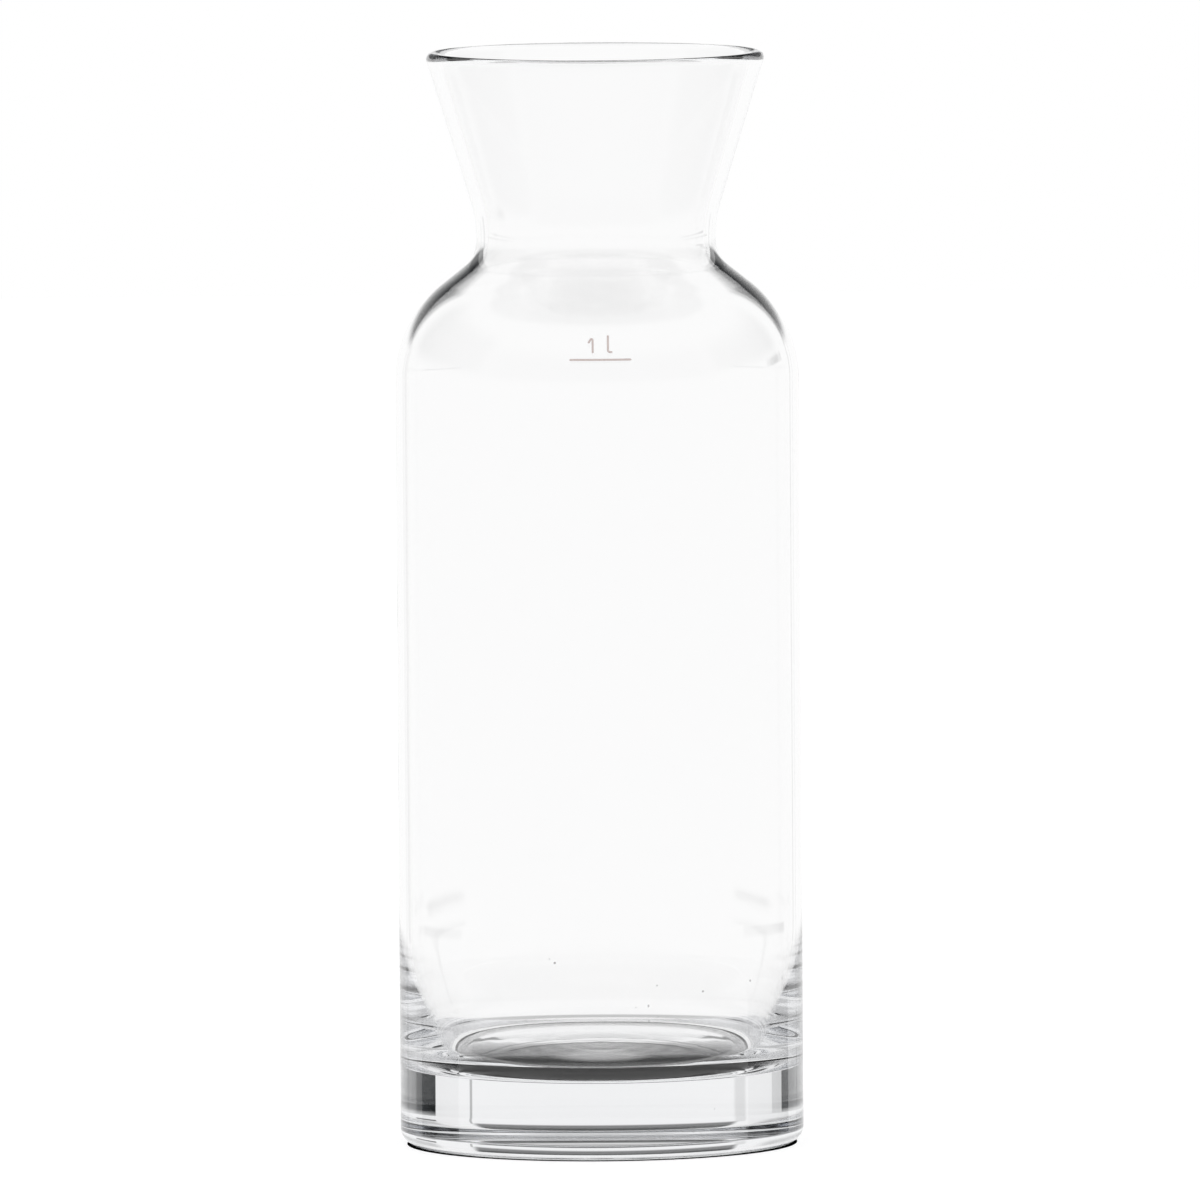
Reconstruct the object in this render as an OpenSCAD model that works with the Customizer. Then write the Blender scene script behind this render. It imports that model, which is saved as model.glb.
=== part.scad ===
// One litre water carafe: a single thick-based glass vessel with a straight side, a round
// shoulder, a waisted neck and a flared mouth, and a capacity mark fired on its shoulder.
// The origin is the centre of the ring it stands on, +Z is up along the axis of the glass,
// and the capacity mark faces -Y. Lengths are in millimetres and angles in degrees.

/* [Body] */
// Diameter of the straight side
body_d = 93; // [80:0.5:110]
// Height of the whole carafe
height = 252; // [210:1:300]
// Thickness of the side wall and of the shoulder
wall = 2.3; // [1.8:0.05:3]
// Radius of the rounded heel between the side and the ring it stands on
heel_r = 3.9; // [2:0.1:5]

/* [Shoulder and neck] */
// Radius of the shoulder's curve, outside
shoulder_r = 27.9; // [23:0.1:33]
// Lean of the shoulder from the vertical where it runs into the neck
shoulder_tilt = 52; // [44:0.5:60]
// Radius of the hollow curve between the shoulder and the throat, outside
neck_r = 7.8; // [6:0.1:9]
// Outside diameter of the throat, the narrowest place
throat_d = 55.1; // [45:0.1:64]
// Thickness of the wall at the throat
throat_wall = 2.6; // [2:0.05:3.5]

/* [Mouth] */
// Height of the flared mouth, from the throat to the rim
mouth_h = 43.1; // [36:0.1:52]
// Outside diameter of the rim
mouth_d = 77.7; // [68:0.1:90]
// Thickness of the rim, which is fully rounded
rim_t = 3.05; // [2.4:0.05:3.6]
// Radius of the hollow curve between the throat and the flared mouth, outside
flare_r = 29.7; // [22:0.1:36]

/* [Base] */
// Thickness of the base, from the table to the floor inside
floor_t = 17; // [10:0.1:22]
// Radius of the curve between the floor and the side, inside
floor_corner_r = 10; // [7:0.1:13]
// Height below which the side wall thickens towards the base
swell_top = 50; // [42:0.5:65]
// Radius of the long curve by which the wall thickens, inside
swell_r = 90; // [70:1:120]
// Width of the flat ring that it stands on
ring_w = 4.1; // [2:0.1:6]
// Depth of the hollow in the underside
punt_h = 1.3; // [0.6:0.1:2.5]

/* [Capacity mark] */
// Height of the fill line's middle above the foot of the shoulder
line_rise = 7.3; // [4:0.1:10]
// Length of the fill line
line_w = 14.2; // [10:0.1:20]
// Width of the fill line's stroke
line_stroke = 0.46; // [0.3:0.02:0.8]
// Space between the fill line and the characters above it
mark_gap = 1.25; // [0.8:0.05:2]
// Height of the numeral
digit_h = 3.4; // [2.4:0.1:4]
// Height of the unit letter, an l for litre
letter_h = 4; // [3:0.1:4.4]
// Width of the strokes of the numeral and the letter
char_stroke = 0.46; // [0.3:0.02:0.6]
// Space between the numeral's upright and the letter's upright
char_pitch = 3.5; // [2.8:0.1:4.5]
// Thickness of the fired enamel
enamel_t = 0.1; // [0.06:0.02:0.2]

/* [Hidden] */

$fn = 96;
// Largest step along a rounded stretch of an outline, the fewest steps in one, and the
// largest step along the small bends of a character
arc_step = 3;
arc_steps_min = 6;
char_arc_step = 15;
// How far a cutting shape runs past what it cuts
overrun = 1;
// Least width of the straight slope that joins the shoulder's curve to the neck's
slope_min = 0.2;

// The numeral's flag, as shares of the numeral's height: how far it reaches out and drops
flag_reach_share = 0.33;
flag_drop_share = 0.22;
// The letter's foot, as shares of the letter's height: how far it reaches out, and the
// radius of its bend along the middle of the stroke
foot_reach_share = 0.2;
foot_bend_share = 0.13;

glass_tint = [0.93, 0.97, 0.97, 0.35];
enamel_tint = [0.74, 0.70, 0.69];

body_r = body_d / 2;
throat_r = throat_d / 2;
rim_r = rim_t / 2;

// Points on an arc about c, from angle a0 to a1, leaving out those before the first wanted.
function arc(c, r, a0, a1, first = 0, step = arc_step) =
    let (n = max(arc_steps_min, ceil(abs(a1 - a0) / step)))
    [for (i = [first : n])
        let (a = a0 + (a1 - a0) * i / n)
        [c[0] + r * cos(a), c[1] + r * sin(a)]];

// Lean from the vertical of a line through `near`, which passes an arc centre `far` at a given
// distance. Both are [radius, height] points, and the arc lies outside and below.
function lean_past(near, far, distance) =
    let (dr = near[0] - far[0], dz = near[1] - far[1])
    acos(-distance / norm([dr, dz])) - atan2(dz, dr);

// Height from the centre of the shoulder's curve up to the centre of the neck's, where the
// two curves have the given radii and lean run apart, side to side, from wall to wall.
function neck_rise(shoulder_curve, neck_curve, run) =
    let (curves = shoulder_curve + neck_curve)
    curves * sin(slope_lean) + (run - curves * (1 - cos(slope_lean))) / tan(slope_lean);

// Shoulder: its slope leans less where the wall and the throat leave no room for the curves
shoulder_run = body_r - throat_r;
slope_lean = min(shoulder_tilt, acos(1 - (shoulder_run - slope_min) / (shoulder_r + neck_r)));
throat_z = height - mouth_h;
side_h = throat_z - neck_rise(shoulder_r, neck_r, shoulder_run);
shoulder_c = [body_r - shoulder_r, side_h];

// Neck and flare, outside
neck_c = [throat_r + neck_r, throat_z];
flare_c = [throat_r + flare_r, throat_z];

// Neck and flare, inside
bore_r = throat_r - throat_wall;
bore_neck_r = neck_r + wall;
bore_flare_r = flare_r + throat_wall;
bore_z = side_h + neck_rise(shoulder_r - wall, bore_neck_r, body_r - wall - bore_r);
bore_neck_c = [bore_r + bore_neck_r, bore_z];
bore_flare_c = [bore_r + bore_flare_r, bore_z];

// Rim: one round, which both faces of the flared wall run into
rim_c = [mouth_d / 2 - rim_r, height - rim_r];
flare_lean = lean_past(rim_c, flare_c, flare_r + rim_r);
bore_flare_lean = lean_past(rim_c, bore_flare_c, bore_flare_r - rim_r);

// Base, inside: the long curve of the thickened wall runs into the floor's corner
swell_c = [body_r - wall - swell_r, swell_top];
swell_angle = asin((swell_top - floor_t - floor_corner_r) / (swell_r - floor_corner_r));
corner_c = [swell_c[0] + (swell_r - floor_corner_r) * cos(swell_angle), floor_t + floor_corner_r];

// Underside: the hollow is a shallow cap of a sphere
punt_r = body_r - heel_r - ring_w;
punt_sphere_r = (punt_r * punt_r + punt_h * punt_h) / (2 * punt_h);
punt_angle = asin(punt_r / punt_sphere_r);

// The mark: its characters stand above the line, and the numeral and letter straddle its middle
line_z = side_h + line_rise;
char_z = line_z + line_stroke / 2 + mark_gap;
digit_x = -char_pitch / 2;
letter_x = char_pitch / 2;

// Half section of the outside, from the middle of the underside up to the rim
function outside_points() = concat(
    arc([0, punt_h - punt_sphere_r], punt_sphere_r, 90, 90 - punt_angle),
    arc([body_r - heel_r, heel_r], heel_r, -90, 0),
    shoulder_points(shoulder_r, 0, slope_lean),
    arc(neck_c, neck_r, 180 + slope_lean, 180),
    arc(flare_c, flare_r, 180, 180 - flare_lean, first = 1));

// Half section of the inside, from the rim down to the middle of the floor
function inside_points() = concat(
    arc(bore_flare_c, bore_flare_r, 180 - bore_flare_lean, 180),
    arc(bore_neck_c, bore_neck_r, 180, 180 + slope_lean, first = 1),
    shoulder_points(shoulder_r - wall, slope_lean, 0),
    arc(swell_c, swell_r, 0, -swell_angle),
    arc(corner_c, floor_corner_r, -swell_angle, -90, first = 1),
    [[0, floor_t]]);

// The shoulder's curve at a given radius, which the glass and the enamel on it share
function shoulder_points(r, a0, a1) = arc(shoulder_c, r, a0, a1);

// The glass: one section, turned about the axis
module glass_body() {
    color(glass_tint)
        rotate_extrude()
            polygon(concat(
                outside_points(),
                arc(rim_c, rim_r, -flare_lean, 180 - bore_flare_lean),
                inside_points()));
}

// A skin of enamel on the outside of the shoulder, cut to the flat shapes given as children,
// which are drawn as seen from the front
module on_shoulder() {
    intersection() {
        rotate_extrude()
            polygon(concat(
                shoulder_points(shoulder_r, 0, slope_lean),
                shoulder_points(shoulder_r + enamel_t, slope_lean, 0)));
        rotate([90, 0, 0])
            linear_extrude(body_r + overrun)
                children();
    }
}

// The line that shows where the carafe holds its measure
module fill_line() {
    color(enamel_tint)
        on_shoulder()
            translate([-line_w / 2, line_z - line_stroke / 2])
                square([line_w, line_stroke]);
}

// A plain numeral one: an upright with a flag at its top
module capacity_numeral() {
    reach = digit_h * flag_reach_share;
    drop = digit_h * flag_drop_share;
    half = char_stroke / 2;
    color(enamel_tint)
        on_shoulder()
            translate([digit_x, char_z])
                polygon([
                    [half, 0],
                    [half, digit_h],
                    [-half, digit_h],
                    [-reach, digit_h - drop],
                    [-reach, digit_h - drop - char_stroke],
                    [-half, digit_h - char_stroke],
                    [-half, 0]]);
}

// A plain letter l for litre: an upright that bends into a short foot to the right
module unit_letter() {
    reach = letter_h * foot_reach_share;
    bend = letter_h * foot_bend_share;
    half = char_stroke / 2;
    bend_c = [bend, bend + half];
    color(enamel_tint)
        on_shoulder()
            translate([letter_x, char_z])
                polygon(concat(
                    [[half, letter_h], [-half, letter_h]],
                    arc(bend_c, bend + half, 180, 270, step = char_arc_step),
                    [[reach, 0], [reach, char_stroke]],
                    arc(bend_c, bend - half, 270, 180, step = char_arc_step)));
}

glass_body();
fill_line();
capacity_numeral();
unit_letter();
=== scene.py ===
"""A one litre water carafe: one thick-based glass vessel, with a capacity mark fired on its
shoulder. Lengths are in metres and angles in degrees. The carafe stands on z = 0 with its axis
on z, and the capacity mark faces -Y."""

import math
import random

import bpy
from mathutils import Euler, Matrix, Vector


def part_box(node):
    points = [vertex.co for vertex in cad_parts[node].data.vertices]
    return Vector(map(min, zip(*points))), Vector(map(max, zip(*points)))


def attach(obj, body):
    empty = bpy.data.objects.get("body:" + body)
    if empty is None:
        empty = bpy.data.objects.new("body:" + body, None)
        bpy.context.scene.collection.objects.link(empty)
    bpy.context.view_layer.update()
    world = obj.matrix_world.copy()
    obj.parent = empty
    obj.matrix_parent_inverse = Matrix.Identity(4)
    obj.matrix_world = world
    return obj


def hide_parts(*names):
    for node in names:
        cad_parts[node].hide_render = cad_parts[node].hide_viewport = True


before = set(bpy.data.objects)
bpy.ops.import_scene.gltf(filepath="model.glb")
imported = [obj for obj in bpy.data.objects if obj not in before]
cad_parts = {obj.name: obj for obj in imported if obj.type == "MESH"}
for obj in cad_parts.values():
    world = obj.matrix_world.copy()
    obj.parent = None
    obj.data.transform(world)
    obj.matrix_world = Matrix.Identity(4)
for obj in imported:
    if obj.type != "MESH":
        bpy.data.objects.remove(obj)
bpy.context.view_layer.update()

MM = 0.001

# Sizes of the glass, as on the solid. Its diameter and height come from the frame.
glass_low, glass_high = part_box("glass_body")
BODY_R = (glass_high.x - glass_low.x) / 2
HEIGHT = glass_high.z
WALL = 2.3 * MM
HEEL_R = 3.9 * MM
SHOULDER_R = 27.9 * MM
SHOULDER_TILT = 52
NECK_R = 7.8 * MM
THROAT_R = 27.55 * MM
THROAT_WALL = 2.6 * MM
MOUTH_H = 43.1 * MM
MOUTH_R = 38.85 * MM
RIM_R = 1.525 * MM
FLARE_R = 29.7 * MM
FLOOR_T = 17 * MM
FLOOR_CORNER_R = 10 * MM
SWELL_TOP = 50 * MM
SWELL_R = 90 * MM
RING_W = 4.1 * MM
PUNT_H = 1.3 * MM

# How finely the glass is turned: steps round the axis, the largest step along a curve, the
# fewest steps in one, and the longest step along a straight stretch
TURNS = 288
ARC_STEP = 1.5
ARC_STEPS_MIN = 6
STRAIGHT_STEP = 3 * MM

# The slight unevenness of moulded glass: how deep its waves are outside and inside, how many
# waves are laid over each other, how many go round the glass, their lengths along its height,
# and the height over which they fade out at the base and at the rim
WAVE_SEED = 7
OUTER_WAVE = 0.006 * MM
INNER_WAVE = 0.012 * MM
WAVES = 7
WAVES_ROUND = (1, 6)
WAVE_LENGTH = (18 * MM, 70 * MM)
WAVE_FADE = 12 * MM

# Rings that the plunger left in the floor inside: their depth, their spacing, the steps across
# one, the radius within which they lie, and how far above the floor a point still belongs to it
RING_DEPTH = 0.010 * MM
RING_SPACING = 5.2 * MM
RING_STEPS = 8
RINGS_R = 33 * MM
FLOOR_REACH = 1 * MM

# The capacity mark, as on the solids that it stands for
LINE_RISE = 7.3 * MM
LINE_W = 14.2 * MM
MARK_GAP = 1.25 * MM
DIGIT_H = 3.4 * MM
LETTER_H = 4 * MM
STROKE = 0.46 * MM
CHAR_PITCH = 3.5 * MM
FLAG_REACH = 1.12 * MM
FLAG_DROP = 0.98 * MM
FOOT_REACH = 0.8 * MM
FOOT_BEND = 0.52 * MM
TIP_BEND = 0.26 * MM

# The print of a stroke: how far its middle stands out, how far its edge and its underside lie
# in the glass, how steeply its edge rises, and the steps along it and across it
INK_PROUD = 0.06 * MM
INK_SUNK = 0.03 * MM
INK_ROOT = 0.06 * MM
INK_STEEPNESS = 2
INK_STEP = 0.12 * MM
INK_ACROSS = 8

# The faults that the glass and the enamel share: how fine the clouds are, the part of a speck
# that has its full depth, and how deep the relief is
CLOUD_DETAIL = 4
SPECK_CORE = 0.5
RELIEF_DEPTH = 0.02 * MM

# The glass: the tints of its surface where it is clear and where it is flawed, what the thick
# glass does to light that passes through, and its faults. Smears grow as the clouds rise from
# one level to another, and the ring that it stands on is worn up to a small height.
GLASS_MARKS = {"Cloud Scale": 70, "Speck Scale": 100, "Speck Size": 0.03, "Speck Share": 0.5}
GLASS_COLOUR = (0.985, 0.985, 0.985, 1)
FLAW_COLOUR = (0.06, 0.055, 0.055, 1)
DEPTH_COLOUR = (0.90, 0.905, 0.915, 1)
DEPTH_DENSITY = 13
GLASS_IOR = 1.52
GLASS_RELIEF = 0.1
SPECK_DEPTH = 0.12
SMEARED = (0.55, 0.8)
SMEAR_ROUGH = 0.004
WORN_TO = (0, 0.15 * MM)
WORN_ROUGH = 0.2

# Flaws on the front of the glass, in millimetres: where each is seen, its half length and half
# width, how far its length leans up from level, in degrees, and its depth as a share
FLAWS = (
    (-11.4, 45.7, 0.42, 0.40, 0, 0.9),
    (-12.6, 46.6, 0.28, 0.26, 0, 0.4),
    (10.0, 35.7, 0.50, 0.30, 80, 0.75),
    (10.1, 32.2, 0.32, 0.30, 0, 0.7),
    (12.2, 33.0, 0.28, 0.26, 0, 0.4),
    (7.1, 35.4, 0.28, 0.26, 0, 0.4),
    (12.0, 40.3, 0.32, 0.30, 0, 0.6),
    (22.6, 38.5, 0.40, 0.38, 0, 0.8),
    (33.6, 40.1, 0.40, 0.38, 0, 0.8),
    (41.2, 39.6, 0.42, 0.40, 0, 0.9),
    (20.2, 6.3, 1.25, 0.30, 4, 0.5),
    (21.9, 5.9, 0.45, 0.26, 0, 0.25),
    (25.1, 11.3, 0.65, 0.22, 62, 0.25),
)
# The part of a flaw's size that has its full depth
FLAW_CORE = 0.3

# The enamel: the two greys that its grains mix, the colour in its pinholes, the least of its
# roughness and how much the clouds add, and its faults
ENAMEL_MARKS = {"Cloud Scale": 1800, "Speck Scale": 3000, "Speck Size": 0.3, "Speck Share": 0.3}
ENAMEL_DARK = (0.50, 0.42, 0.40, 1)
ENAMEL_LIGHT = (0.66, 0.57, 0.55, 1)
PINHOLE_COLOUR = (0.74, 0.68, 0.66, 1)
ENAMEL_ROUGH = 0.35
ENAMEL_ROUGH_MORE = 0.25
ENAMEL_RELIEF = 0.4

# The camera: a few metres away, a little above the glass
CAMERA_DISTANCE = 6.0
CAMERA_ELEVATION = 4.41
CAMERA_AZIMUTH = -1.0
CAMERA_ROLL = 0.387
FRAME_WIDTH = 276.4 * MM
AIM_HEIGHT = 125.45 * MM
AIM_SIDE = 0.32 * MM
SENSOR = 36.0

# The studio. What glass sees is white but for dark cloths. Each has the azimuth of its middle,
# from +Y towards +X, its half width and soft edge, the elevations at which it starts, is full,
# is still full and ends, and the share of light that it leaves. In turn they hang behind the
# glass, all round it far below and overhead, narrow at both sides, where the thick base shows
# them, and wide and pale at both sides and in front.
HALF_TURN = 180
WHITE = (1, 1, 1, 1)
CLOTH_COLOUR = (0.01, 0.012, 0.013, 1)
CLOTHS = (
    (0, 29, 3, (4, 8.5, 29, 33), 0.2),
    (0, 29, 3, (10, 20, 29, 33), 0.05),
    (0, HALF_TURN, 1, (-64, -60, -52, -48), 0.5),
    (0, HALF_TURN, 1, (60, 72, 94, 95), 0.6),
    (53.6, 7, 0.6, (-6.4, -5.6, -5.4, -5.2), 0.0),
    (74.5, 13.5, 0.6, (-6.4, -5.6, -5.4, -5.2), 0.1),
    (53.6, 7, 0.6, (4, 4.8, 6.5, 9), 0.05),
    (31.3, 0.25, 0.3, (-9, -8, 6.5, 8), 0.5),
    (-31.8, 1.2, 1.5, (-9, -8, 6.5, 8), 0.8),
    (-49.5, 2.8, 0.6, (-6.4, -5.6, -5.4, -5.2), 0.75),
    (-70.8, 17.6, 0.6, (-6.4, -5.6, -5.4, -5.2), 0.12),
    (77, 26, 8, (6, 14, 20, 40), 0.6),
    (-75, 26, 12, (4, 14, 30, 45), 0.6),
    (HALF_TURN, 60, 20, (3, 8, 22, 40), 0.75),
)

# The floor, a little below the base, and a glow of its own, which keeps it near white
FLOOR_HALF = 3.0
FLOOR_Z = -0.03 * MM
FLOOR_COLOUR = (0.8, 0.8, 0.8, 1)
FLOOR_GLOW = 0.3

# The disc that stands for the shade under the thick base: radii from the axis, in millimetres,
# and how much light is left there
SHADE_Z = -0.01 * MM
SHADE_R = 45 * MM
SHADE_STEPS = 96
SHADE = ((0, 0.5), (7, 0.4), (13, 0.005), (45, 0.005))

# How often light may pass from face to face: the thick base throws it back and forth inside
GLASS_BOUNCES = 40
CLEAR_BOUNCES = 32


def sin_d(a):
    """The sine of an angle in degrees."""
    return math.sin(math.radians(a))


def cos_d(a):
    """The cosine of an angle in degrees."""
    return math.cos(math.radians(a))


def tan_d(a):
    """The tangent of an angle in degrees."""
    return math.tan(math.radians(a))


def arc(centre, radius, start, end, first=0):
    """Points on an arc from one angle to another, in degrees, leaving out those before first."""
    steps = max(ARC_STEPS_MIN, math.ceil(abs(end - start) / ARC_STEP))
    points = []
    for i in range(first, steps + 1):
        a = start + (end - start) * i / steps
        points.append((centre[0] + radius * cos_d(a), centre[1] + radius * sin_d(a)))
    return points


def line(start, end, step=STRAIGHT_STEP):
    """Points between two ends of a straight stretch, without the ends themselves."""
    steps = math.ceil(math.dist(start, end) / step)
    return [
        (start[0] + (end[0] - start[0]) * i / steps, start[1] + (end[1] - start[1]) * i / steps)
        for i in range(1, steps)
    ]


def lean_past(near, far, distance):
    """Lean from the vertical of a line through near that passes far at a distance."""
    across, up = near[0] - far[0], near[1] - far[1]
    return math.degrees(math.acos(-distance / math.hypot(across, up)) - math.atan2(up, across))


def neck_rise(shoulder_curve, neck_curve, run):
    """Height from the centre of the shoulder's curve up to the centre of the neck's."""
    curves = shoulder_curve + neck_curve
    straight = (run - curves * (1 - cos_d(SHOULDER_TILT))) / tan_d(SHOULDER_TILT)
    return curves * sin_d(SHOULDER_TILT) + straight


THROAT_Z = HEIGHT - MOUTH_H
SIDE_H = THROAT_Z - neck_rise(SHOULDER_R, NECK_R, BODY_R - THROAT_R)
SHOULDER_C = (BODY_R - SHOULDER_R, SIDE_H)
RIM_C = (MOUTH_R - RIM_R, HEIGHT - RIM_R)
LINE_Z = SIDE_H + LINE_RISE
CHAR_Z = LINE_Z + STROKE + MARK_GAP


def underside():
    """Section of the hollow underside, a shallow cap of a sphere, from its middle outwards."""
    edge_r = BODY_R - HEEL_R - RING_W
    sphere = (edge_r**2 + PUNT_H**2) / (2 * PUNT_H)
    reach = math.degrees(math.asin(edge_r / sphere))
    steps = math.ceil(edge_r / STRAIGHT_STEP)
    points = []
    for i in range(steps + 1):
        a = 90 - reach * i / steps
        points.append((sphere * cos_d(a), PUNT_H - sphere + sphere * sin_d(a)))
    return points


def outside():
    """Section of the outside, from the middle of the underside up to the rim."""
    neck_c = (THROAT_R + NECK_R, THROAT_Z)
    flare_c = (THROAT_R + FLARE_R, THROAT_Z)
    lean = lean_past(RIM_C, flare_c, FLARE_R + RIM_R)
    punt = underside()
    heel = arc((BODY_R - HEEL_R, HEEL_R), HEEL_R, -90, 0)
    shoulder = arc(SHOULDER_C, SHOULDER_R, 0, SHOULDER_TILT)
    neck = arc(neck_c, NECK_R, 180 + SHOULDER_TILT, 180)
    flare = arc(flare_c, FLARE_R, 180, 180 - lean, first=1)
    rim = arc(RIM_C, RIM_R, -lean, 90)
    return (
        punt + line(punt[-1], heel[0]) + heel + line(heel[-1], shoulder[0]) + shoulder
        + neck + flare + line(flare[-1], rim[0]) + rim
    )


def inside():
    """Section of the inside, from the rim down to the middle of the floor."""
    bore_r = THROAT_R - THROAT_WALL
    neck_r = NECK_R + WALL
    flare_r = FLARE_R + THROAT_WALL
    bore_z = SIDE_H + neck_rise(SHOULDER_R - WALL, neck_r, BODY_R - WALL - bore_r)
    flare_c = (bore_r + flare_r, bore_z)
    lean = lean_past(RIM_C, flare_c, flare_r - RIM_R)
    swell_c = (BODY_R - WALL - SWELL_R, SWELL_TOP)
    corner_run = SWELL_R - FLOOR_CORNER_R
    swell = math.degrees(math.asin((SWELL_TOP - FLOOR_T - FLOOR_CORNER_R) / corner_run))
    corner_c = (swell_c[0] + corner_run * cos_d(swell), FLOOR_T + FLOOR_CORNER_R)
    rim = arc(RIM_C, RIM_R, 90, 180 - lean, first=1)
    flare = arc(flare_c, flare_r, 180 - lean, 180)
    neck = arc((bore_r + neck_r, bore_z), neck_r, 180, 180 + SHOULDER_TILT, first=1)
    shoulder = arc(SHOULDER_C, SHOULDER_R - WALL, SHOULDER_TILT, 0)
    side = arc(swell_c, SWELL_R, 0, -swell)
    corner = arc(corner_c, FLOOR_CORNER_R, -swell, -90, first=1)
    floor_end = (0, FLOOR_T)
    return (
        rim + line(rim[-1], flare[0]) + flare + neck + shoulder
        + line(shoulder[-1], side[0]) + side + corner
        + line(corner[-1], floor_end, RING_SPACING / RING_STEPS) + [floor_end]
    )


def smooth(x, low, high):
    """0 below low and 1 above high, with an even curve between them."""
    t = min(max((x - low) / (high - low), 0), 1)
    return t * t * (3 - 2 * t)


def waves_from(seed):
    """A function of angle and height: waves laid over each other, between -1 and 1."""
    draw = random.Random(seed)
    waves = []
    for _ in range(WAVES):
        waves.append((
            draw.randint(*WAVES_ROUND), draw.uniform(*WAVE_LENGTH),
            draw.uniform(0, 2 * math.pi), draw.uniform(0, 2 * math.pi),
        ))

    def depth(angle, z):
        total = 0
        for count, length, round_phase, up_phase in waves:
            round_wave = math.cos(count * angle + round_phase)
            total += round_wave * math.cos(2 * math.pi * z / length + up_phase)
        return total / WAVES

    return depth


outer_waves = waves_from(WAVE_SEED)
inner_waves = waves_from(WAVE_SEED + 1)


def moulded(r, z, angle, inner):
    """Where a point of the true section lies on glass that came out of a mould."""
    if inner:
        level = smooth(z, FLOOR_T, FLOOR_T + WAVE_FADE) * smooth(HEIGHT - z, 0, WAVE_FADE)
        r += INNER_WAVE * level * inner_waves(angle, z)
        if r < RINGS_R and z < FLOOR_T + FLOOR_REACH:
            fade = 1 - smooth(r, RINGS_R - RING_SPACING, RINGS_R)
            z -= RING_DEPTH * fade * (1 - math.cos(2 * math.pi * r / RING_SPACING))
    else:
        level = smooth(z, HEEL_R, HEEL_R + WAVE_FADE) * smooth(HEIGHT - z, 0, WAVE_FADE)
        r -= OUTER_WAVE * level * (1 + outer_waves(angle, z))
    return r, z


def piece(name, verts, faces):
    """An object in the scene, with smooth faces."""
    mesh = bpy.data.meshes.new(name)
    mesh.from_pydata(verts, [], faces)
    mesh.validate()
    mesh.shade_smooth()
    made = bpy.data.objects.new(name, mesh)
    bpy.context.scene.collection.objects.link(made)
    return made


def turned(name, outer, inner):
    """A closed mesh: the two sections, one after the other, turned about the axis."""
    section = [(r, z, False) for r, z in outer] + [(r, z, True) for r, z in inner]
    ring = section[1:-1]
    verts = [(0, 0, section[0][1])]
    for r, z, is_inner in ring:
        for k in range(TURNS):
            a = 2 * math.pi * k / TURNS
            real_r, real_z = moulded(r, z, a, is_inner)
            verts.append((real_r * math.cos(a), real_r * math.sin(a), real_z))
    verts.append((0, 0, section[-1][1]))
    last = len(verts) - 1
    faces = []
    for k in range(TURNS):
        n = (k + 1) % TURNS
        faces.append((0, 1 + n, 1 + k))
        for i in range(len(ring) - 1):
            low, high = 1 + i * TURNS, 1 + (i + 1) * TURNS
            faces.append((low + k, low + n, high + n, high + k))
        top = last - TURNS
        faces.append((top + k, top + n, last))
    return piece(name, verts, faces)


def add(tree, kind, inputs=None, **settings):
    """A node of a kind, with its settings, and its inputs set to values or linked to outputs."""
    made = tree.nodes.new(kind)
    for key, value in settings.items():
        setattr(made, key, value)
    for key, value in (inputs or {}).items():
        if isinstance(value, bpy.types.NodeSocket):
            tree.links.new(value, made.inputs[key])
        else:
            made.inputs[key].default_value = value
    return made


def calc(tree, operation, *values):
    """The result of a sum on values or outputs."""
    return add(tree, "ShaderNodeMath", dict(enumerate(values)), operation=operation).outputs[0]


def remainder(tree, value):
    """What is left of 1 when the value is taken away."""
    return calc(tree, "SUBTRACT", 1, value)


def ramp(tree, value, start, end):
    """0 before start and 1 after end, with an even curve between them."""
    inputs = {"Value": value, "From Min": start, "From Max": end}
    made = add(tree, "ShaderNodeMapRange", inputs, interpolation_type="SMOOTHSTEP")
    return made.outputs["Result"]


def window(tree, value, opens, opened, closes, closed):
    """1 between two ramps and 0 outside them."""
    rise = ramp(tree, value, opens, opened)
    return calc(tree, "MULTIPLY", rise, remainder(tree, ramp(tree, value, closes, closed)))


def between(tree, factor, first, second):
    """The first colour where the factor is 0, the second where it is 1, and a mix between."""
    inputs = {"Factor": factor, "A": first, "B": second}
    return add(tree, "ShaderNodeMix", inputs, data_type="RGBA").outputs["Result"]


def distance(tree, vector):
    """The length of a vector."""
    return add(tree, "ShaderNodeVectorMath", {0: vector}, operation="LENGTH").outputs["Value"]


def place_on(tree):
    """The place on the piece, in metres from the middle of the ring that it stands on."""
    return add(tree, "ShaderNodeTexCoord").outputs["Object"]


def raised(tree, height, strength):
    """The normal of a surface with a fine relief of a given height and strength."""
    inputs = {"Height": height, "Strength": strength, "Distance": RELIEF_DEPTH}
    return add(tree, "ShaderNodeBump", inputs).outputs["Normal"]


def new_material(name):
    """An empty material, its node tree and its output."""
    material = bpy.data.materials.new(name)
    material.use_nodes = True
    tree = material.node_tree
    tree.nodes.clear()
    return material, tree, tree.nodes.new("ShaderNodeOutputMaterial")


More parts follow.
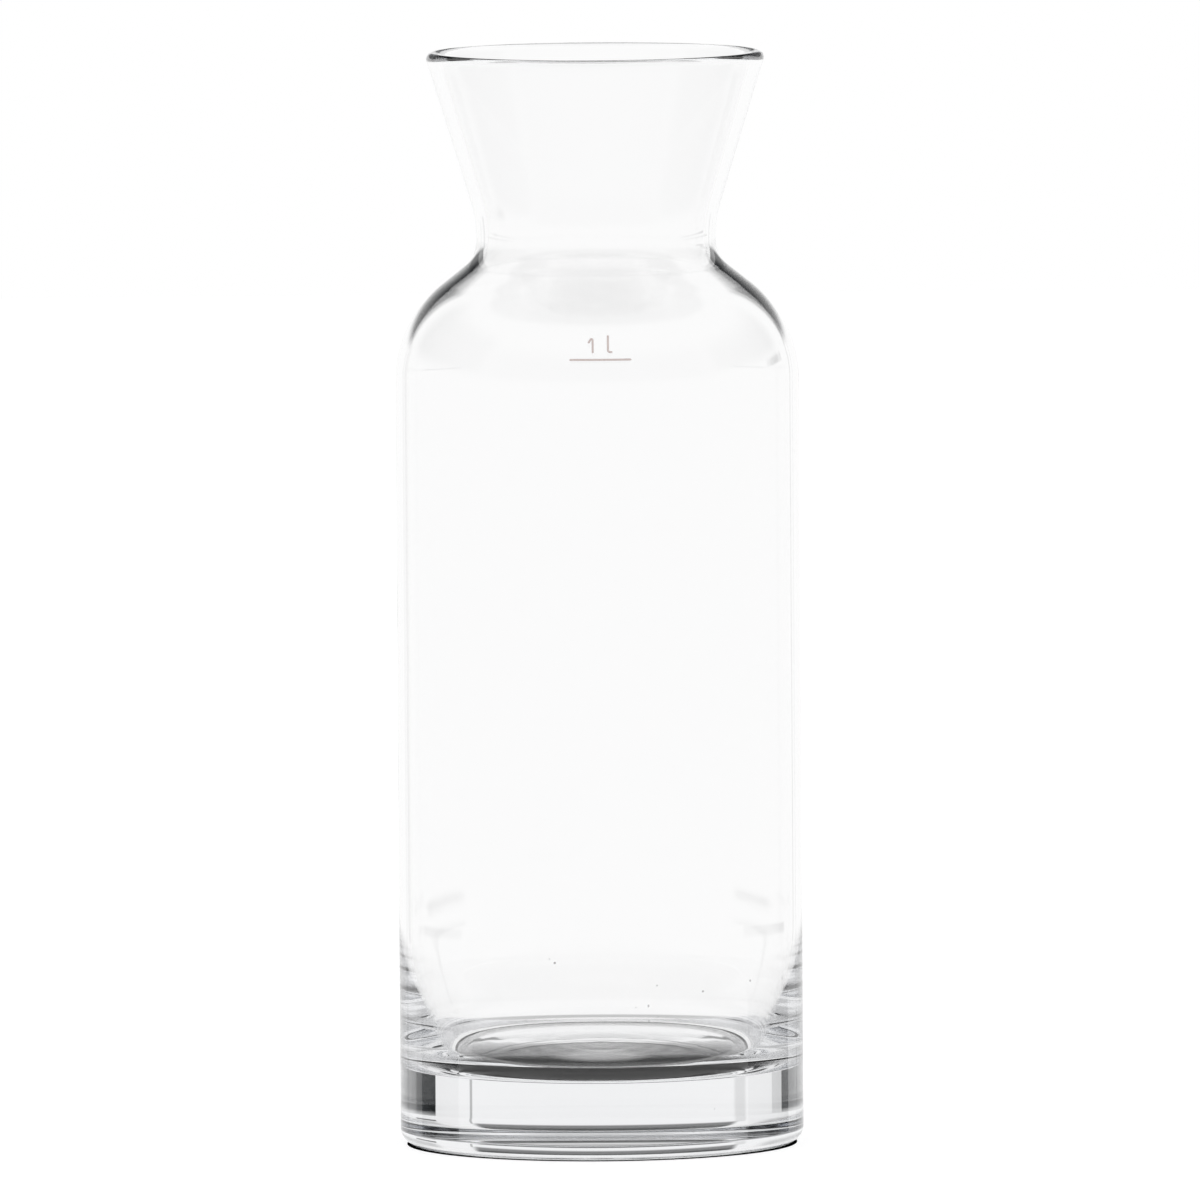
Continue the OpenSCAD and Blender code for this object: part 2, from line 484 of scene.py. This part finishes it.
def surface_marks():
    """Faults that the glass and the enamel share: soft clouds, a few specks, and their height."""
    group = bpy.data.node_groups.new("surface_marks", "ShaderNodeTree")
    for name in ("Cloud Scale", "Speck Scale", "Speck Size", "Speck Share"):
        group.interface.new_socket(name=name, in_out="INPUT", socket_type="NodeSocketFloat")
    for name in ("Cloud", "Specks", "Height"):
        group.interface.new_socket(name=name, in_out="OUTPUT", socket_type="NodeSocketFloat")
    given = group.nodes.new("NodeGroupInput").outputs
    place = place_on(group)
    cloud = add(group, "ShaderNodeTexNoise", {
        "Vector": place, "Scale": given["Cloud Scale"], "Detail": CLOUD_DETAIL,
    }).outputs["Fac"]
    cells = add(group, "ShaderNodeTexVoronoi", {
        "Vector": place, "Scale": given["Speck Scale"],
    }).outputs
    chance = add(group, "ShaderNodeSeparateXYZ", {0: cells["Color"]}).outputs[0]
    picked = calc(group, "LESS_THAN", chance, given["Speck Share"])
    core = calc(group, "MULTIPLY", given["Speck Size"], SPECK_CORE)
    round_off = ramp(group, cells["Distance"], core, given["Speck Size"])
    specks = calc(group, "MULTIPLY", picked, remainder(group, round_off))
    height = calc(group, "SUBTRACT", cloud, specks)
    add(group, "NodeGroupOutput", {"Cloud": cloud, "Specks": specks, "Height": height})
    return group


MARKS = surface_marks()


def marks(tree, values):
    """The shared faults in a material, with its own values for them."""
    made = tree.nodes.new("ShaderNodeGroup")
    made.node_tree = MARKS
    for key, value in values.items():
        made.inputs[key].default_value = value
    return made.outputs


def flaw(tree, place, x, z, half_long, half_wide, lean, depth):
    """A small dark flaw on the front of the glass, seen at x and z: deepest in its middle."""
    y = -math.sqrt(BODY_R**2 - (x * MM)**2)
    spot = add(tree, "ShaderNodeMapping", {
        "Vector": place,
        "Location": (x * MM, y, z * MM),
        "Rotation": (0, math.radians(-lean), 0),
        "Scale": (half_long * MM, half_wide * MM, half_wide * MM),
    }, vector_type="TEXTURE").outputs[0]
    fade = remainder(tree, ramp(tree, distance(tree, spot), FLAW_CORE, 1))
    return calc(tree, "MULTIPLY", fade, depth)


def clear_glass():
    """Clear glass with a few specks, faint smears and a ring that is worn from standing."""
    material, tree, out = new_material("clear_glass")
    place = place_on(tree)
    faults = marks(tree, GLASS_MARKS)
    dark = calc(tree, "MULTIPLY", faults["Specks"], SPECK_DEPTH)
    for values in FLAWS:
        dark = calc(tree, "MAXIMUM", dark, flaw(tree, place, *values))
    smears = calc(tree, "MULTIPLY", ramp(tree, faults["Cloud"], *SMEARED), SMEAR_ROUGH)
    up = add(tree, "ShaderNodeSeparateXYZ", {0: place}).outputs[2]
    worn = calc(tree, "MULTIPLY", remainder(tree, ramp(tree, up, *WORN_TO)), WORN_ROUGH)
    shader = add(tree, "ShaderNodeBsdfPrincipled", {
        "Base Color": between(tree, dark, GLASS_COLOUR, FLAW_COLOUR),
        "Transmission Weight": 1,
        "Roughness": calc(tree, "MAXIMUM", smears, worn),
        "IOR": GLASS_IOR,
        "Normal": raised(tree, faults["Height"], GLASS_RELIEF),
    })
    tree.links.new(shader.outputs[0], out.inputs["Surface"])
    inputs = {"Color": DEPTH_COLOUR, "Density": DEPTH_DENSITY}
    depth = add(tree, "ShaderNodeVolumeAbsorption", inputs)
    tree.links.new(depth.outputs[0], out.inputs["Volume"])
    return material


def grey_enamel():
    """Fired enamel: a warm grey, mottled by its grains, with pinholes."""
    material, tree, out = new_material("grey_enamel")
    faults = marks(tree, ENAMEL_MARKS)
    grains = between(tree, faults["Cloud"], ENAMEL_DARK, ENAMEL_LIGHT)
    rougher = calc(tree, "MULTIPLY", faults["Cloud"], ENAMEL_ROUGH_MORE)
    shader = add(tree, "ShaderNodeBsdfPrincipled", {
        "Base Color": between(tree, faults["Specks"], grains, PINHOLE_COLOUR),
        "Roughness": calc(tree, "ADD", ENAMEL_ROUGH, rougher),
        "Normal": raised(tree, faults["Height"], ENAMEL_RELIEF),
    })
    tree.links.new(shader.outputs[0], out.inputs["Surface"])
    return material


INK = grey_enamel()


def glass():
    """The whole vessel."""
    body = turned("carafe_glass", outside(), inside())
    body.data.materials.append(clear_glass())
    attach(body, "root")
    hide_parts("glass_body")


def on_shoulder(x, z, lift):
    """The point of the shoulder that is seen at x and z from the front, lifted off the glass."""
    up = z - SIDE_H
    lean = math.asin(up / SHOULDER_R)
    r = SHOULDER_C[0] + SHOULDER_R * math.cos(lean)
    y = -math.sqrt(r**2 - x**2)
    out = (x / r * math.cos(lean), y / r * math.cos(lean), math.sin(lean))
    return (x + out[0] * lift, y + out[1] * lift, z + out[2] * lift)


def ink_rows(path):
    """Rows across a stroke with round ends. Each has a point of the path, the direction of the
    path there, how far ahead of the point the row lies, and its half width."""
    points = []
    for a, b in zip(path, path[1:]):
        points += [a] + line(a, b, INK_STEP)
    points.append(path[-1])
    ways = []
    for before, after in zip(points[:1] + points, points[1:] + points[-1:]):
        length = math.dist(before, after)
        ways.append(((after[0] - before[0]) / length, (after[1] - before[1]) / length))
    half = STROKE / 2
    turns = [90 * i / ARC_STEPS_MIN for i in range(1, ARC_STEPS_MIN)]
    first = [(points[0], ways[0], -half * cos_d(a), half * sin_d(a)) for a in turns]
    middle = [(point, way, 0, half) for point, way in zip(points, ways)]
    last = [(points[-1], ways[-1], half * cos_d(a), half * sin_d(a)) for a in reversed(turns)]
    return first + middle + last


def ink_section(point, way, ahead, wide):
    """One section across a stroke: its crowned face, and then its root in the glass."""
    spots = []
    for j in range(INK_ACROSS + 1):
        side = 2 * j / INK_ACROSS - 1
        crown = min(1, INK_STEEPNESS * math.sqrt(1 - side**2)) * wide / (STROKE / 2)
        spots.append((wide * side, (INK_SUNK + INK_PROUD) * crown - INK_SUNK))
    spots += [(wide, -INK_ROOT), (-wide, -INK_ROOT)]
    section = []
    for side, lift in spots:
        x = point[0] + way[0] * ahead - way[1] * side
        z = point[1] + way[1] * ahead + way[0] * side
        section.append(on_shoulder(x, z, lift))
    return section


def stroke(name, path, replaced):
    """A print of one stroke of ink along a path on the shoulder."""
    sections = [ink_section(*row) for row in ink_rows(path)]
    count = len(sections[0])
    faces = []
    for i in range(len(sections) - 1):
        for j in range(count):
            n = (j + 1) % count
            low, high = i * count, (i + 1) * count
            faces.append((low + j, high + j, high + n, low + n))
    end = (len(sections) - 1) * count
    faces.append(tuple(range(count)))
    faces.append(tuple(reversed(range(end, end + count))))
    made = piece(name, sum(sections, []), faces)
    made.data.materials.append(INK)
    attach(made, "root")
    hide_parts(replaced)


def fill_line():
    """The line that the carafe is filled to."""
    end = (LINE_W - STROKE) / 2
    stroke("fill_line_print", [(-end, LINE_Z), (end, LINE_Z)], "fill_line")


def capacity_numeral():
    """A plain numeral one: an upright with a flag at its top."""
    x = -CHAR_PITCH / 2
    top = CHAR_Z + DIGIT_H - STROKE
    tip = (x - FLAG_REACH + STROKE / 2, top - FLAG_DROP + STROKE / 2)
    lean = math.degrees(math.atan2(top - tip[1], x - tip[0]))
    bend = arc((x - TIP_BEND, top - TIP_BEND), TIP_BEND, 90 + lean, 0)
    stroke("numeral_print", [tip] + bend + [(x, CHAR_Z)], "capacity_numeral")


def unit_letter():
    """A plain letter l for litre: an upright that bends into a short foot to the right."""
    x = CHAR_PITCH / 2
    top = (x, CHAR_Z + LETTER_H - STROKE)
    bend = arc((x + FOOT_BEND, CHAR_Z + FOOT_BEND), FOOT_BEND, 180, 270)
    stroke("letter_print", [top] + bend + [(x + FOOT_REACH, CHAR_Z)], "unit_letter")


def camera():
    """A camera a few metres away that looks a little down on the glass."""
    data = bpy.data.cameras.new("camera")
    data.sensor_width = SENSOR
    data.lens = SENSOR * CAMERA_DISTANCE / FRAME_WIDTH
    data.clip_end = 2 * CAMERA_DISTANCE
    made = bpy.data.objects.new("camera", data)
    bpy.context.scene.collection.objects.link(made)
    side = (cos_d(CAMERA_AZIMUTH), sin_d(CAMERA_AZIMUTH))
    back = (sin_d(CAMERA_AZIMUTH), -cos_d(CAMERA_AZIMUTH))
    reach = CAMERA_DISTANCE * cos_d(CAMERA_ELEVATION)
    made.location = (
        side[0] * AIM_SIDE + back[0] * reach,
        side[1] * AIM_SIDE + back[1] * reach,
        AIM_HEIGHT + CAMERA_DISTANCE * sin_d(CAMERA_ELEVATION),
    )
    turn = Euler((math.radians(90 - CAMERA_ELEVATION), 0, math.radians(CAMERA_AZIMUTH)))
    roll = Matrix.Rotation(-math.radians(CAMERA_ROLL), 3, "Z")
    made.rotation_euler = (turn.to_matrix() @ roll).to_euler()
    bpy.context.scene.camera = made


def past_cloth(tree, around, up, middle, half, soft, heights, left):
    """The share of light that comes past one cloth."""
    away = calc(tree, "SUBTRACT", around, middle)
    away = calc(tree, "ABSOLUTE", calc(tree, "WRAP", away, HALF_TURN, -HALF_TURN))
    across = remainder(tree, ramp(tree, away, half, half + soft))
    cover = calc(tree, "MULTIPLY", across, window(tree, up, *heights))
    return remainder(tree, calc(tree, "MULTIPLY", cover, 1 - left))


def studio():
    """The light all round: white, with the dark places that give clear glass its edges."""
    world = bpy.data.worlds.new("studio")
    bpy.context.scene.world = world
    world.use_nodes = True
    tree = world.node_tree
    tree.nodes.clear()
    way = add(tree, "ShaderNodeTexCoord").outputs["Generated"]
    x, y, z = add(tree, "ShaderNodeSeparateXYZ", {0: way}).outputs
    up = calc(tree, "DEGREES", calc(tree, "ARCSINE", z))
    around = calc(tree, "DEGREES", calc(tree, "ARCTAN2", x, y))
    light = past_cloth(tree, around, up, *CLOTHS[0])
    for values in CLOTHS[1:]:
        light = calc(tree, "MULTIPLY", light, past_cloth(tree, around, up, *values))
    path = add(tree, "ShaderNodeLightPath").outputs
    in_glass = calc(tree, "MAXIMUM", path["Is Glossy Ray"], path["Is Transmission Ray"])
    plain = add(tree, "ShaderNodeBackground", {"Color": WHITE}).outputs[0]
    seen = between(tree, light, CLOTH_COLOUR, WHITE)
    dressed = add(tree, "ShaderNodeBackground", {"Color": seen}).outputs[0]
    both = add(tree, "ShaderNodeMixShader", {0: in_glass, 1: plain, 2: dressed}).outputs[0]
    add(tree, "ShaderNodeOutputWorld", {"Surface": both})


def floor():
    """A pale floor that glass doesn't show."""
    h = FLOOR_HALF
    corners = [(-h, -h, FLOOR_Z), (h, -h, FLOOR_Z), (h, h, FLOOR_Z), (-h, h, FLOOR_Z)]
    board = piece("floor", corners, [(0, 1, 2, 3)])
    board.visible_transmission = False
    board.visible_glossy = False
    material, tree, out = new_material("floor_white")
    matt = add(tree, "ShaderNodeBsdfDiffuse", {"Color": FLOOR_COLOUR}).outputs[0]
    glow = add(tree, "ShaderNodeEmission", {"Color": WHITE, "Strength": FLOOR_GLOW}).outputs[0]
    both = add(tree, "ShaderNodeAddShader", {0: matt, 1: glow}).outputs[0]
    tree.links.new(both, out.inputs["Surface"])
    board.data.materials.append(material)


def floor_shade():
    """A dark disc under the base, which glass shows where it doesn't show the floor."""
    verts = [
        (SHADE_R * cos_d(360 * k / SHADE_STEPS), SHADE_R * sin_d(360 * k / SHADE_STEPS), SHADE_Z)
        for k in range(SHADE_STEPS)
    ]
    shade = piece("floor_shade", verts, [tuple(range(SHADE_STEPS))])
    material, tree, out = new_material("floor_shade")
    share = calc(tree, "DIVIDE", distance(tree, place_on(tree)), SHADE_R)
    grade = add(tree, "ShaderNodeValToRGB", {"Fac": share})
    stops = grade.color_ramp.elements
    while len(stops) < len(SHADE):
        stops.new(1)
    for stop, (r, level) in zip(stops, SHADE):
        stop.position = r * MM / SHADE_R
        stop.color = (level, level, level, 1)
    clear = add(tree, "ShaderNodeBsdfTransparent", {"Color": grade.outputs["Color"]}).outputs[0]
    tree.links.new(clear, out.inputs["Surface"])
    shade.data.materials.append(material)


camera()
glass()
fill_line()
capacity_numeral()
unit_letter()
studio()
floor()
floor_shade()

scene = bpy.context.scene
scene.view_settings.view_transform = "Standard"
scene.cycles.max_bounces = GLASS_BOUNCES
scene.cycles.transmission_bounces = GLASS_BOUNCES
scene.cycles.glossy_bounces = GLASS_BOUNCES
scene.cycles.transparent_max_bounces = CLEAR_BOUNCES
scene.cycles.blur_glossy = 0
